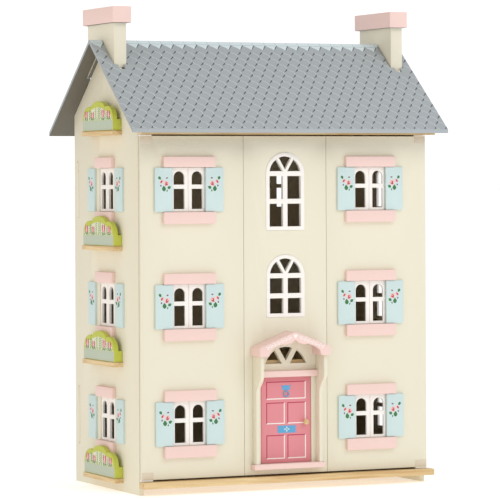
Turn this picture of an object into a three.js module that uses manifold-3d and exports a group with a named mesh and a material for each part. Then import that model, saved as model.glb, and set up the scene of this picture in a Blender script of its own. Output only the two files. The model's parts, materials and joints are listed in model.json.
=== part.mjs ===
// A wooden dolls' house: three storeys and an attic, with a hinged front, a lifting roof slope,
// swinging shutters, opening casements and a porch. Millimetres, +Z up.
// Inside this file x runs right along the front from the left wall's outer face, y runs back from
// the front face, and z runs up from the table. The last lines move the origin to the middle.
import * as THREE from 'three';
import { mergeVertices } from 'three/addons/utils/BufferGeometryUtils.js';
import Module from 'manifold-3d';

const wasm = await Module();
wasm.setup();

// ---------------------------------------------------------------- driving dimensions
const WIDTH = 603;              // over both side walls
const DEPTH = 335;              // front face of the leaves to the back of the side walls
const STOREY = 220;             // floor top to floor top
const WALL = 9;                 // side wall board
const BACK = 6;                 // back board
const FLOOR = 9;                // floor boards
const BASE = 12;                // base board
const BASE_TOP = 26;            // top of the base board above the table
const FIT = 0.3;                // gap between fixed pieces that touch

const LEAF = 9;                 // front leaf board
const LEAF_SET = 1.5;           // room behind the leaves for their hinge edges to turn
const LEAF_BELOW = 3.5;         // gap under the leaves
const LEAF_ABOVE = 3;           // gap over the leaves
const LEFT_LEAF = 212.4;        // outer edge to the left seam
const RIGHT_LEAF = 215.8;       // outer edge to the right seam
const SEAM = 1;                 // gap between leaves
const PIVOT_BLOCK = 24.5;       // width of the corner blocks that carry the pivots
const PIVOT_PIN = 2.5;          // pivot pin radius
const PIVOT_PLAY = 0.3;         // radial play of a pivot pin in its board
const PIN_DEPTH = 5;            // length of a pivot pin beyond its block
const LEAF_PLAY = 0.4;          // gap between a pivot block and the board it turns on

const LIP_BASE = 15;            // how far the base board stands in front of the leaves
const LIP_ATTIC = 8;            // and the attic floor
const BASE_RIGHT = 9;           // how far the base board's lip runs past the right wall
const ATTIC_RIGHT = 18;         // and the attic floor's lip

const PITCH = THREE.MathUtils.degToRad(38.8);
const ROOF = 6;                 // roof board
const EAVE_OUT = 49;            // eaves beyond the front and the back
const EAVE_RISE = 1;            // top edge of the eaves above the attic floor
const VERGE_LEFT = 34.7;        // roof beyond the left wall
const VERGE_RIGHT = 25.1;       // roof beyond the right wall
const RIDGE_GAP = 0.4;          // between the two roof boards at the ridge

const STACK_WIDE = 25;          // chimney stack, across the wall
const STACK_LONG = 137;         // chimney stack, along the wall
const STACK_BACK = 9.5;         // its middle behind the ridge
const STACK_IN_LEFT = 6;        // left stack's middle inside the left wall's outer face
const STACK_IN_RIGHT = 5.7;     // right stack's middle inside the right wall's outer face
const STACK_HIGH = 31.2;         // its top above the ridge
const STACK_ROOM = 2;           // notch in the roof around the stack
const SLOT_WIDE = 12;           // finger slot below each notch
const SLOT_LONG = 11;           // finger slot beyond the notch, level
const CAP_OUT = 6.6;              // cap beyond the stack, sideways
const CAP_LONG = 156;           // cap along the wall
const CAP_HIGH = 30;

const WINDOW_WIDE = 74;         // opening for a pair of casements
const WINDOW_HIGH = 84;
const WINDOW_UP = 107;          // its middle above the floor it belongs to
const LEFT_WINDOW = 98.8;       // middle of the left leaf's windows from the left wall's face
const RIGHT_WINDOW = 93.1;      // middle of the right leaf's windows from the right seam
const CASEMENT = 5;             // casement thickness
const CASEMENT_IN = 1.5;        // casement face behind the wall face
const CASEMENT_PLAY = 0.5;      // gap round a casement
const STILE = 7;                // casement upright beside a pane
const PANE_WIDE = 22;
const RAIL_TOP = 7;
const RAIL_BOTTOM = 5;
const RAIL_MID = 8;
const LOWER_PANE = 38;          // height of the lower pane
const TRIM = 8;                 // lintels and sills stand this far off the wall
const LINTEL_HIGH = 20.3;
const SILL_HIGH = 22.3;
const FRONT_TRIM_LONG = 106;    // lintels and sills on the front leaves
const SIDE_TRIM_LONG = 86;      // lintels and sills on the side walls
const SHUTTER = 4.5;            // shutter thickness
const SHUTTER_OFF = 0.4;        // gap behind a shutter
const SHUTTER_WIDE = 36.8;
const SHUTTER_PLAY = 0.6;       // gap over and under a swinging shutter
const SHUTTER_GAP = 66.8;       // between the inner edges of an open pair on the front
const SIDE_SHUTTER_GAP = 103;   // between the fixed pairs on the side walls
const BACK_WINDOW = 429.6;      // middle of the window in the back wall, from the left wall's face

const LEDGE_LONG = 160;         // shelf under a flower box
const LEDGE_OUT = 20;
const BOX_LONG = 156;           // flower box
const BOX_BOARD = 9.3;          // its lobed front board
const BOX_SHOULDER = 21;        // height of the block
const LOBE_HIGH = 47;           // side lobes above the shelf
const ARCH_HIGH = 56.5;         // middle lobe above the shelf
const LOBE_REACH = 30;          // half width of a side lobe
const ARCH_REACH = 37;          // half width of the middle lobe

const DOOR_WIDE = 107;          // doorway
const DOOR_SILL = 50;           // bottom of the doorway above the table
const DOOR_TOP = 214.2;
const DOOR = 7;                 // door thickness
const DOOR_IN = 1;              // door face behind the leaf's face
const DOOR_PLAY = 0.6;
const KNOB = 5.5;               // knob radius
const KNOB_UP = 127;            // knob above the table
const KNOB_IN = 13.2;           // knob from the door's free edge

const PORCH_WIDE = 148;         // canopy and step
const CANOPY_OUT = 44;
const CANOPY_EAVE = 256;        // underside of the canopy's ends above the table
const CANOPY_END = 17;          // height of the canopy's ends
const CANOPY_RISE = 29;         // ridge above the ends' tops
const CANOPY_SHELL = 8;         // thickness of its slopes and front board
const CANOPY_FOOT = 18;         // width of the solid ends over the pillars
const PILLAR = 7;               // pillar thickness
const PILLAR_IN = 4;            // pillar from the canopy's end
const PILLAR_TOP_OUT = 38;      // depth of a pillar at its top
const PILLAR_FOOT_OUT = 16;     // and at its foot
const PILLAR_SHOULDER = 0.84;   // where a pillar's curve starts, as a share of its height
const PILLAR_WAIST = 0.64;      // and where it ends
const PORCH_LINTEL_OUT = 11.5;
const PORCH_LINTEL_HIGH = 12;
const STEP_OUT = 18;
const STEP_HIGH = 10;

const ARCH_WIDE = 81;           // arched windows over the door
const ARCH_FRAME = 8;           // their frames' thickness
const ARCH_PROUD = 1;           // frames in front of the leaf
const ARCH_STILE = 7.5;
const ARCH_BAR = 9.3;           // rails and mullion
const FAN_BAR = 5.5;            // bars of the fan
const UPPER_FOOT = 494;         // bottom of the upper arched window above the table
const UPPER_HIGH = 149;
const LOWER_FOOT = 328;
const LOWER_HIGH = 120;
const FANLIGHT_FOOT = 236;      // bottom of the fanlight over the door
const FANLIGHT_HALF = 52;
const FANLIGHT_HIGH = 43;
const FANLIGHT_BAR = 9.5;       // bars of the fanlight

// ---------------------------------------------------------------- sizes that follow
const floorTop = (storey) => BASE_TOP + storey * STOREY;
const ATTIC_TOP = floorTop(3);
const MIDDLE = DEPTH / 2;
const BACK_FACE = DEPTH - BACK;                 // inner face of the back board
const WALL_FRONT = LEAF + LEAF_SET;             // front ends of the side walls
const SLOPE = Math.tan(PITCH);
const ROOF_DROP = ROOF / Math.cos(PITCH);       // roof thickness measured upright
const EAVE_TOP = ATTIC_TOP + EAVE_RISE;
const RIDGE = EAVE_TOP + SLOPE * (MIDDLE + EAVE_OUT);
const underRoof = (y) => RIDGE - ROOF_DROP - SLOPE * Math.abs(y - MIDDLE);
const LEAF_FOOT = BASE_TOP + LEAF_BELOW;
const LEAF_TOP = ATTIC_TOP - FLOOR - LEAF_ABOVE;
const BOX_BLOCK = TRIM + FIT;                   // flower box block, so that its board clears the sill
const PIVOT_IN = LEAF / 2 + FIT;                // pivot axes from the house's outer edges
const LEFT_SEAM = LEFT_LEAF;
const RIGHT_SEAM = WIDTH - RIGHT_LEAF;

// ---------------------------------------------------------------- finishes
const finish = (color, roughness) => new THREE.MeshStandardMaterial({ color, roughness, metalness: 0 });
const cream = finish(0xe8e3cf, 0.55);
const slate = finish(0xaab2b6, 0.6);
const wood = finish(0xe1c896, 0.6);
const palePink = finish(0xecd0c8, 0.5);
const doorPink = finish(0xe0828c, 0.45);
const paleBlue = finish(0xcddfde, 0.5);
const white = finish(0xf6f3ee, 0.45);
const leafGreen = finish(0xc8cd55, 0.5);

// ---------------------------------------------------------------- solids
function toSolid(geometry) {
  const bare = geometry.clone();
  bare.deleteAttribute('normal');
  bare.deleteAttribute('uv');
  const merged = mergeVertices(bare, 1e-4);
  return new wasm.Manifold(new wasm.Mesh({
    numProp: 3,
    vertProperties: new Float32Array(merged.attributes.position.array),
    triVerts: new Uint32Array(merged.index.array),
  }));
}

function toGeometry(solid) {
  const mesh = solid.getMesh();
  const geometry = new THREE.BufferGeometry();
  geometry.setAttribute('position', new THREE.BufferAttribute(new Float32Array(mesh.vertProperties), 3));
  geometry.setIndex(new THREE.BufferAttribute(new Uint32Array(mesh.triVerts), 1));
  geometry.computeVertexNormals();
  return geometry;
}

const join = (first, ...rest) => rest.reduce((solid, other) => solid.add(other), first);
const cut = (first, ...rest) => rest.reduce((solid, other) => solid.subtract(other), first);

function box(x0, x1, y0, y1, z0, z1) {
  const geometry = new THREE.BoxGeometry(x1 - x0, y1 - y0, z1 - z0);
  return toSolid(geometry.translate((x0 + x1) / 2, (y0 + y1) / 2, (z0 + z1) / 2));
}

const polygon = (...points) => new THREE.Shape(points.map(([x, y]) => new THREE.Vector2(x, y)));
const rectangle = (x0, x1, y0, y1) => polygon([x0, y0], [x1, y0], [x1, y1], [x0, y1]);

// The outline thickened along z and then turned. Each hole is cut right through, and corners that
// repeat the one before them are dropped.
function prism(outline, depth, curveSegments, turn) {
  const near = 1e-5;
  const tidy = (points) => points.filter((point, i) =>
    point.distanceTo(points[(i + points.length - 1) % points.length]) > near);
  const solid = (points, from, to) => {
    const geometry = new THREE.ExtrudeGeometry(new THREE.Shape(tidy(points)),
      { depth: to - from, bevelEnabled: false });
    return toSolid(geometry.translate(0, 0, from).applyMatrix4(turn));
  };
  const { shape, holes } = outline.extractPoints(curveSegments);
  const past = 1;
  return cut(solid(shape, 0, depth), ...holes.map((hole) => solid(hole, -past, depth + past)));
}

// A board seen from the front: the outline is in x and z, and it runs from y0 to y1.
function board(outline, y0, y1, curveSegments = 6) {
  return prism(outline, y1 - y0, curveSegments,
    new THREE.Matrix4().makeRotationX(Math.PI / 2).setPosition(0, y1, 0));
}

// An upright prism: the outline is in x and y, and it runs from z0 to z1.
function post(outline, z0, z1, curveSegments = 4) {
  return prism(outline, z1 - z0, curveSegments, new THREE.Matrix4().makeTranslation(0, 0, z0));
}

// A prism along x: the outline is in y and z, and it runs from x0 to x1.
function beam(outline, x0, x1, curveSegments = 8) {
  const turn = new THREE.Matrix4().makeBasis(
    new THREE.Vector3(0, 1, 0), new THREE.Vector3(0, 0, 1), new THREE.Vector3(1, 0, 0));
  return prism(outline, x1 - x0, curveSegments, turn.setPosition(x0, 0, 0));
}

function pin(x, y, z0, z1, radius) {
  const geometry = new THREE.CylinderGeometry(radius, radius, z1 - z0, 12);
  return toSolid(geometry.rotateX(Math.PI / 2).translate(x, y, (z0 + z1) / 2));
}

const house = new THREE.Group();

function place(name, solid, material, group = house) {
  const mesh = new THREE.Mesh(solid.isBufferGeometry ? solid : toGeometry(solid), material);
  mesh.name = name;
  group.add(mesh);
  return mesh;
}

// ---------------------------------------------------------------- casement windows
const OPENING_HALF = WINDOW_WIDE / 2;
const windowFoot = (storey) => floorTop(storey) + WINDOW_UP - WINDOW_HIGH / 2;
const CASEMENT_WIDE = OPENING_HALF - 1.5 * CASEMENT_PLAY;
const PANE_ARCH = PANE_WIDE / 2;

// The hole for a pair of casements, x measured from the window's middle.
function opening(middle, storey) {
  const foot = windowFoot(storey);
  return rectangle(middle - OPENING_HALF, middle + OPENING_HALF, foot, foot + WINDOW_HIGH);
}

// The two panes of one casement, whose near upright starts at x.
function panes(x, foot) {
  const low = foot + RAIL_BOTTOM;
  const high = low + LOWER_PANE + RAIL_MID;
  const spring = foot + WINDOW_HIGH - 2 * CASEMENT_PLAY - RAIL_TOP - PANE_ARCH;
  const arched = new THREE.Shape();
  arched.moveTo(x, high);
  arched.lineTo(x + PANE_WIDE, high);
  arched.lineTo(x + PANE_WIDE, spring);
  arched.absarc(x + PANE_ARCH, spring, PANE_ARCH, 0, Math.PI, false);
  arched.lineTo(x, high);
  return [rectangle(x, x + PANE_WIDE, low, low + LOWER_PANE), arched];
}

// One casement at the window's middle, hinged at its outer edge, which is rounded to turn.
// side is -1 for the left one and +1 for the right one.
function casement(side) {
  const half = CASEMENT / 2;
  const outer = OPENING_HALF - CASEMENT_PLAY;
  const inner = outer - CASEMENT_WIDE;
  const height = WINDOW_HIGH - 2 * CASEMENT_PLAY;
  const face = rectangle(side > 0 ? inner : -outer, side > 0 ? outer : -inner, 0, height);
  face.holes = panes(side > 0 ? outer - STILE - PANE_WIDE : -outer + STILE, 0);
  const plan = new THREE.Shape();
  plan.moveTo(side * inner, 0);
  plan.lineTo(side * (outer - half), 0);
  plan.absarc(side * (outer - half), half, half, -Math.PI / 2, Math.PI / 2, side < 0);
  plan.lineTo(side * inner, CASEMENT);
  return board(face, 0, CASEMENT).intersect(post(plan, 0, height));
}

const casements = { left: toGeometry(casement(-1)), right: toGeometry(casement(1)) };

function addCasements(name, group, storey) {
  for (const [side, geometry] of Object.entries(casements)) {
    const mesh = place(`casement_${name}_${side}`, geometry, white, group);
    mesh.position.set(0, CASEMENT_IN, windowFoot(storey) + CASEMENT_PLAY);
  }
}

// Lintel and sill of one window, sunk a little into the wall so that they join it.
function trims(middle, storey, long) {
  const foot = windowFoot(storey);
  const sunk = 1;
  const bar = (z0, z1) => box(middle - long / 2, middle + long / 2, -TRIM, sunk, z0, z1);
  return [bar(foot - SILL_HIGH, foot), bar(foot + WINDOW_HIGH, foot + WINDOW_HIGH + LINTEL_HIGH)];
}

// ---------------------------------------------------------------- swinging shutters
const SHUTTER_HIGH = WINDOW_HIGH - 2 * SHUTTER_PLAY;

// An open shutter beside the window's middle, with its inner edge rounded about the pivot.
function shutter(side) {
  const half = SHUTTER / 2;
  const inner = SHUTTER_GAP / 2;
  const plan = new THREE.Shape();
  plan.moveTo(side * (inner + SHUTTER_WIDE), 0);
  plan.lineTo(side * (inner + SHUTTER_WIDE), SHUTTER);
  plan.lineTo(side * (inner + half), SHUTTER);
  plan.absarc(side * (inner + half), half, half, Math.PI / 2, -Math.PI / 2, side > 0 ? false : true);
  return post(plan, 0, SHUTTER_HIGH);
}

const shutters = { left: toGeometry(shutter(-1)), right: toGeometry(shutter(1)) };

function addShutters(name, group, storey) {
  for (const [side, geometry] of Object.entries(shutters)) {
    const mesh = place(`shutter_${name}_${side}`, geometry, paleBlue, group);
    mesh.position.set(0, -SHUTTER_OFF - SHUTTER, windowFoot(storey) + SHUTTER_PLAY);
  }
}

const storeyNames = ['ground', 'first', 'second'];

// ---------------------------------------------------------------- side walls
// A side wall stands in a group whose x runs along the wall, from its middle towards the right
// as seen from outside, and whose y runs inwards. frontSide is the sign of x at the house's front.
function sideWall(frontSide, withLedges) {
  const frontX = frontSide * (MIDDLE - WALL_FRONT);
  const backX = -frontSide * MIDDLE;
  const gable = (y) => underRoof(y) - FIT;
  const outline = polygon([backX, 0], [frontX, 0], [frontX, gable(WALL_FRONT)], [0, gable(MIDDLE)],
    [backX, gable(DEPTH)]);
  outline.holes = storeyNames.map((_, storey) => opening(0, storey));
  let wall = board(outline, 0, WALL);
  const sunk = 1;
  storeyNames.forEach((_, storey) => {
    const foot = windowFoot(storey) + SHUTTER_PLAY;
    const inner = SIDE_SHUTTER_GAP / 2;
    const fixed = [-1, 1].map((side) => box(Math.min(side * inner, side * (inner + SHUTTER_WIDE)),
      Math.max(side * inner, side * (inner + SHUTTER_WIDE)), -SHUTTER, sunk, foot, foot + SHUTTER_HIGH));
    wall = join(wall, ...trims(0, storey, SIDE_TRIM_LONG), ...fixed);
  });
  if (withLedges) {
    for (let level = 0; level <= 3; level += 1) {
      const top = floorTop(level);
      wall = join(wall, box(-LEDGE_LONG / 2, LEDGE_LONG / 2, -LEDGE_OUT, sunk, top - FLOOR, top));
    }
  }
  return wall;
}

const leftSide = new THREE.Group();
leftSide.position.set(0, MIDDLE, 0);
leftSide.rotation.z = -Math.PI / 2;
house.add(leftSide);
place('wall_left', sideWall(1, true), cream, leftSide);

const rightSide = new THREE.Group();
rightSide.position.set(WIDTH, MIDDLE, 0);
rightSide.rotation.z = Math.PI / 2;
house.add(rightSide);
place('wall_right', sideWall(-1, false), cream, rightSide);

storeyNames.forEach((storeyName, storey) => {
  addCasements(`left_wall_${storeyName}`, leftSide, storey);
  addCasements(`right_wall_${storeyName}`, rightSide, storey);
});

// ---------------------------------------------------------------- flower boxes
// The lobed front board: two side lobes and a taller middle one.
function flowerBox() {
  const half = BOX_LONG / 2;
  const outline = new THREE.Shape();
  outline.moveTo(-half, 0);
  outline.lineTo(half, 0);
  outline.lineTo(half, BOX_SHOULDER);
  outline.absellipse(half - LOBE_REACH, BOX_SHOULDER, LOBE_REACH, LOBE_HIGH - BOX_SHOULDER,
    0, Math.PI * 0.62, false);
  const spring = LOBE_HIGH - 6;
  outline.absellipse(0, spring, ARCH_REACH, ARCH_HIGH - spring, Math.PI * 0.06, Math.PI * 0.94, false);
  outline.absellipse(-half + LOBE_REACH, BOX_SHOULDER, LOBE_REACH, LOBE_HIGH - BOX_SHOULDER,
    Math.PI * 0.38, Math.PI, false);
  outline.lineTo(-half, 0);
  const front = board(outline, -BOX_BLOCK - BOX_BOARD, -BOX_BLOCK, 8);
  const lap = 0.5;
  return join(front, box(-half, half, -BOX_BLOCK - lap, -FIT, 0, BOX_SHOULDER));
}

const flowerBoxShape = toGeometry(flowerBox());
['ground', 'first', 'second', 'attic'].forEach((level, storey) => {
  const mesh = place(`flower_box_${level}`, flowerBoxShape, leafGreen, leftSide);
  mesh.position.z = floorTop(storey) + FIT;
});

// ---------------------------------------------------------------- back wall, base and floors
const INSIDE_LEFT = WALL + FIT;
const INSIDE_RIGHT = WIDTH - WALL - FIT;

const backOutline = rectangle(INSIDE_LEFT, INSIDE_RIGHT, BASE_TOP + FIT, underRoof(DEPTH) - FIT);
const backPane = OPENING_HALF - CASEMENT_PLAY - STILE - PANE_WIDE;
backOutline.holes = [
  ...panes(BACK_WINDOW + backPane, windowFoot(2) + CASEMENT_PLAY),
  ...panes(BACK_WINDOW - backPane - PANE_WIDE, windowFoot(2) + CASEMENT_PLAY),
];
place('wall_back', board(backOutline, BACK_FACE, DEPTH), cream);

// A board between the side walls whose front lip passes in front of them.
function lippedBoard(top, thick, lip, right, back) {
  const plan = polygon([0, -lip], [WIDTH + right, -lip], [WIDTH + right, WALL_FRONT - FIT],
    [INSIDE_RIGHT, WALL_FRONT - FIT], [INSIDE_RIGHT, back], [INSIDE_LEFT, back],
    [INSIDE_LEFT, WALL_FRONT - FIT], [0, WALL_FRONT - FIT]);
  const holes = [PIVOT_IN, WIDTH - PIVOT_IN].map((x) =>
    pin(x, LEAF / 2, top - thick - 1, top + 1, PIVOT_PIN + PIVOT_PLAY));
  return cut(post(plan, top - thick, top), ...holes);
}

place('base_board', lippedBoard(BASE_TOP, BASE, LIP_BASE, BASE_RIGHT, DEPTH - FIT), wood);
place('floor_attic', lippedBoard(ATTIC_TOP, FLOOR, LIP_ATTIC, ATTIC_RIGHT, BACK_FACE - FIT), wood);
['first', 'second'].forEach((level, index) => {
  const top = floorTop(index + 1);
  place(`floor_${level}`,
    box(INSIDE_LEFT, INSIDE_RIGHT, WALL_FRONT, BACK_FACE - FIT, top - FLOOR, top), wood);
});

// ---------------------------------------------------------------- front leaves
// The plan of an outer leaf: its hinge edge is rounded about the pivot. side is -1 for the left one.
function leafPlan(hingeX, freeX, side) {
  const half = LEAF / 2;
  const plan = new THREE.Shape();
  plan.moveTo(freeX, 0);
  plan.lineTo(hingeX, 0);
  plan.lineTo(hingeX, half);
  plan.absarc(hingeX - side * half, half, half, side > 0 ? 0 : Math.PI, Math.PI / 2, side < 0);
  plan.lineTo(freeX, LEAF);
  return plan;
}

// An outer leaf with three windows, its corner blocks and its pivot pins.
function outerLeaf(side) {
  const hingeX = side < 0 ? FIT : WIDTH - FIT;
  const freeX = side < 0 ? LEFT_SEAM - SEAM / 2 : RIGHT_SEAM + SEAM / 2;
  const middle = side < 0 ? LEFT_WINDOW : RIGHT_SEAM + RIGHT_WINDOW;
  const low = Math.min(hingeX, freeX);
  const high = Math.max(hingeX, freeX);
  const outline = rectangle(low, high, LEAF_FOOT, LEAF_TOP);
  outline.holes = storeyNames.map((_, storey) => opening(middle, storey));
  const blockX = hingeX - side * PIVOT_BLOCK;
  const bottom = BASE_TOP + LEAF_PLAY;
  const top = ATTIC_TOP - FLOOR - LEAF_PLAY;
  const lap = 2;
  const block = (z0, z1) => box(Math.min(hingeX, blockX), Math.max(hingeX, blockX), 0, LEAF, z0, z1);
  const flat = join(board(outline, 0, LEAF), block(bottom, LEAF_FOOT + lap), block(LEAF_TOP - lap, top));
  const turned = flat.intersect(post(leafPlan(hingeX, freeX, side), bottom, top));
  const pivotX = side < 0 ? PIVOT_IN : WIDTH - PIVOT_IN;
  const pins = [pin(pivotX, LEAF / 2, bottom - PIN_DEPTH, bottom + lap, PIVOT_PIN),
    pin(pivotX, LEAF / 2, top - lap, top + PIN_DEPTH, PIVOT_PIN)];
  const trim = storeyNames.flatMap((_, storey) => trims(middle, storey, FRONT_TRIM_LONG));
  return join(turned, ...pins, ...trim);
}

place('leaf_left', outerLeaf(-1), cream);
place('leaf_right', outerLeaf(1), cream);
for (const [column, middle] of [['left', LEFT_WINDOW], ['right', RIGHT_SEAM + RIGHT_WINDOW]]) {
  const windows = new THREE.Group();
  windows.position.x = middle;
  house.add(windows);
  storeyNames.forEach((storeyName, storey) => {
    addCasements(`front_${column}_${storeyName}`, windows, storey);
    addShutters(`front_${column}_${storeyName}`, windows, storey);
  });
}

// ---------------------------------------------------------------- centre leaf
// An upright rectangle with a round head, x measured from the leaf's middle.
function archOutline(half, foot, height) {
  const spring = foot + height - half;
  const outline = new THREE.Shape();
  outline.moveTo(-half, foot);
  outline.lineTo(half, foot);
  outline.lineTo(half, spring);
  outline.absarc(0, spring, half, 0, Math.PI, false);
  outline.lineTo(-half, foot);
  return outline;
}

// One opening of a fan: between two bars that spread from a hub, under an arc of the given radius
// about (0, centre). from and to are the bars' directions, and foot is the fan's straight edge.
function fanOpening(hub, centre, radius, foot, from, to, width) {
  const bar = width / 2;
  const reach = (angle, offset) => {
    const across = [-Math.sin(angle) * offset, Math.cos(angle) * offset];
    const rise = hub + across[1] - centre;
    const along = across[0] * Math.cos(angle) + rise * Math.sin(angle);
    const left = radius * radius - across[0] ** 2 - rise ** 2;
    const travel = -along + Math.sqrt(along * along + left);
    return [across[0] + travel * Math.cos(angle), hub + across[1] + travel * Math.sin(angle)];
  };
  const start = from > 0 ? reach(from, bar) : [Math.sqrt(radius ** 2 - (foot - centre) ** 2), foot];
  const end = to < Math.PI ? reach(to, -bar) : [-Math.sqrt(radius ** 2 - (foot - centre) ** 2), foot];
  const points = [];
  const startAngle = Math.atan2(start[1] - centre, start[0]);
  const endAngle = Math.atan2(end[1] - centre, end[0]);
  const steps = 5;
  for (let step = 0; step <= steps; step += 1) {
    const angle = startAngle + (endAngle - startAngle) * step / steps;
    points.push([radius * Math.cos(angle), centre + radius * Math.sin(angle)]);
  }
  if (from > 0 && to < Math.PI) {
    points.push([0, hub + bar / Math.cos(from)]);
  } else {
    const lean = from > 0 ? from : to;
    const shift = (foot - hub) / Math.tan(lean);
    const clear = bar / Math.sin(lean);
    points.push([shift + (from > 0 ? -clear : clear), foot]);
  }
  return polygon(...points);
}

// The three openings of a fan; the outer bars lean 30 degrees off upright.
function fan(hub, centre, radius, foot, width) {
  const right = Math.PI / 3;
  const left = Math.PI - right;
  const opening = (from, to) => fanOpening(hub, centre, radius, foot, from, to, width);
  return [opening(0, right), opening(right, left), opening(left, Math.PI)];
}

// A frame with a fan above two rows of two panes.
function archedWindow(foot, height) {
  const half = ARCH_WIDE / 2 - FIT;
  const spring = foot + height - ARCH_WIDE / 2;
  const fanFoot = spring + ARCH_BAR / 2;
  const outline = archOutline(half, foot + FIT, height - 2 * FIT);
  const paneTop = fanFoot - ARCH_BAR;
  const paneHigh = (paneTop - foot - ARCH_STILE - ARCH_BAR) / 2;
  const sides = [[ARCH_BAR / 2, ARCH_WIDE / 2 - ARCH_STILE], [-ARCH_WIDE / 2 + ARCH_STILE, -ARCH_BAR / 2]];
  const rows = [paneTop - paneHigh, foot + ARCH_STILE];
  outline.holes = [
    ...rows.flatMap((z) => sides.map(([x0, x1]) => rectangle(x0, x1, z, z + paneHigh))),
    ...fan(fanFoot - FAN_BAR / 2, spring, ARCH_WIDE / 2 - ARCH_STILE, fanFoot, FAN_BAR),
  ];
  return board(outline, -ARCH_PROUD, ARCH_FRAME - ARCH_PROUD, 12);
}

const CENTRE_MIDDLE = (LEFT_SEAM + RIGHT_SEAM) / 2;
const centreLow = LEFT_SEAM + SEAM / 2 - CENTRE_MIDDLE;
const centreHigh = RIGHT_SEAM - SEAM / 2 - CENTRE_MIDDLE;
const centreOutline = rectangle(centreLow, centreHigh, LEAF_FOOT, LEAF_TOP);
const fanlightRadius = (FANLIGHT_HALF ** 2 + FANLIGHT_HIGH ** 2) / (2 * FANLIGHT_HIGH);
const fanlightCentre = FANLIGHT_FOOT + FANLIGHT_HIGH - fanlightRadius;
const fanlightInner = FANLIGHT_FOOT + ARCH_STILE / 2;
centreOutline.holes = [
  archOutline(ARCH_WIDE / 2, UPPER_FOOT, UPPER_HIGH),
  archOutline(ARCH_WIDE / 2, LOWER_FOOT, LOWER_HIGH),
  rectangle(-DOOR_WIDE / 2, DOOR_WIDE / 2, DOOR_SILL, DOOR_TOP),
  ...fan(fanlightInner - FANLIGHT_BAR / 2, fanlightCentre, fanlightRadius - ARCH_STILE, fanlightInner,
    FANLIGHT_BAR),
];

const centre = new THREE.Group();
centre.position.x = CENTRE_MIDDLE;
house.add(centre);
place('leaf_centre', board(centreOutline, 0, LEAF, 12), cream, centre);
place('arched_window_upper', archedWindow(UPPER_FOOT, UPPER_HIGH), white, centre);
place('arched_window_lower', archedWindow(LOWER_FOOT, LOWER_HIGH), white, centre);

// ---------------------------------------------------------------- front door
function frontDoor() {
  const half = DOOR / 2;
  const hinge = -DOOR_WIDE / 2 + DOOR_PLAY;
  const free = DOOR_WIDE / 2 - DOOR_PLAY;
  const plan = new THREE.Shape();
  plan.moveTo(free, DOOR_IN);
  plan.lineTo(free, DOOR_IN + DOOR);
  plan.lineTo(hinge + half, DOOR_IN + DOOR);
  plan.absarc(hinge + half, DOOR_IN + half, half, Math.PI / 2, Math.PI * 1.5, false);
  return post(plan, DOOR_SILL + DOOR_PLAY, DOOR_TOP - DOOR_PLAY, 6);
}

place('front_door', frontDoor(), doorPink, centre);

const stem = KNOB * 0.45;
const knobOut = KNOB * 1.9;
const knobProfile = [[0, 0], [stem, 0], [stem, knobOut * 0.3], [KNOB * 0.8, knobOut * 0.4],
  [KNOB, knobOut * 0.62],
  [KNOB * 0.8, knobOut * 0.86], [KNOB * 0.35, knobOut], [0, knobOut]].map(
  ([x, y]) => new THREE.Vector2(x, y));
const knob = toGeometry(toSolid(new THREE.LatheGeometry(knobProfile, 12).rotateX(Math.PI)));
place('door_knob', knob, wood, centre).position.set(
  DOOR_WIDE / 2 - DOOR_PLAY - KNOB_IN, DOOR_IN - FIT, KNOB_UP);

// ---------------------------------------------------------------- porch
const PORCH_HALF = PORCH_WIDE / 2;

// The wavy lower edge of the canopy's front board, from its middle to its solid end: distance from
// the middle, and height above the eaves.
const BARGE_WAVE = [[0, 30.5], [8, 25], [17, 22], [29, 22.6], [43, 17], [52, 11], [54.5, 1.5]];

function canopy() {
  const endTop = CANOPY_EAVE + CANOPY_END;
  const ridge = endTop + CANOPY_RISE;
  const slopes = [[PORCH_HALF, endTop], [0, ridge], [-PORCH_HALF, endTop]];
  const drop = CANOPY_SHELL / Math.cos(Math.atan2(CANOPY_RISE, PORCH_HALF));
  const foot = PORCH_HALF - CANOPY_FOOT;
  const innerFoot = endTop + CANOPY_RISE * CANOPY_FOOT / PORCH_HALF - drop;
  const shell = polygon([foot, CANOPY_EAVE], [PORCH_HALF, CANOPY_EAVE], ...slopes,
    [-PORCH_HALF, CANOPY_EAVE], [-foot, CANOPY_EAVE], [-foot, innerFoot], [0, ridge - drop],
    [foot, innerFoot]);
  const wave = BARGE_WAVE.map(([x, z]) => [x, CANOPY_EAVE + z]);
  const mirrored = wave.slice(1).map(([x, z]) => [-x, z]).reverse();
  const barge = polygon([foot, CANOPY_EAVE], [PORCH_HALF, CANOPY_EAVE], ...slopes,
    [-PORCH_HALF, CANOPY_EAVE], [-foot, CANOPY_EAVE], ...mirrored, ...wave);
  const frontBack = -CANOPY_OUT + CANOPY_SHELL;
  return join(board(shell, -CANOPY_OUT + 1, -FIT), board(barge, -CANOPY_OUT, frontBack));
}

place('porch_canopy', canopy(), palePink, centre);

// A pillar seen from the side: deep under the canopy, then an ogee down to a slim foot.
function pillarOutline(top) {
  const high = top - DOOR_SILL;
  const back = -FIT;
  const outline = new THREE.Shape();
  outline.moveTo(back, DOOR_SILL);
  outline.lineTo(back, top);
  outline.lineTo(-PILLAR_TOP_OUT, top);
  outline.lineTo(-PILLAR_TOP_OUT, DOOR_SILL + high * PILLAR_SHOULDER);
  const middle = DOOR_SILL + high * (PILLAR_SHOULDER + PILLAR_WAIST) / 2;
  outline.bezierCurveTo(-PILLAR_TOP_OUT, middle, -PILLAR_FOOT_OUT, middle, -PILLAR_FOOT_OUT,
    DOOR_SILL + high * PILLAR_WAIST);
  outline.lineTo(-PILLAR_FOOT_OUT, DOOR_SILL);
  return outline;
}

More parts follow.
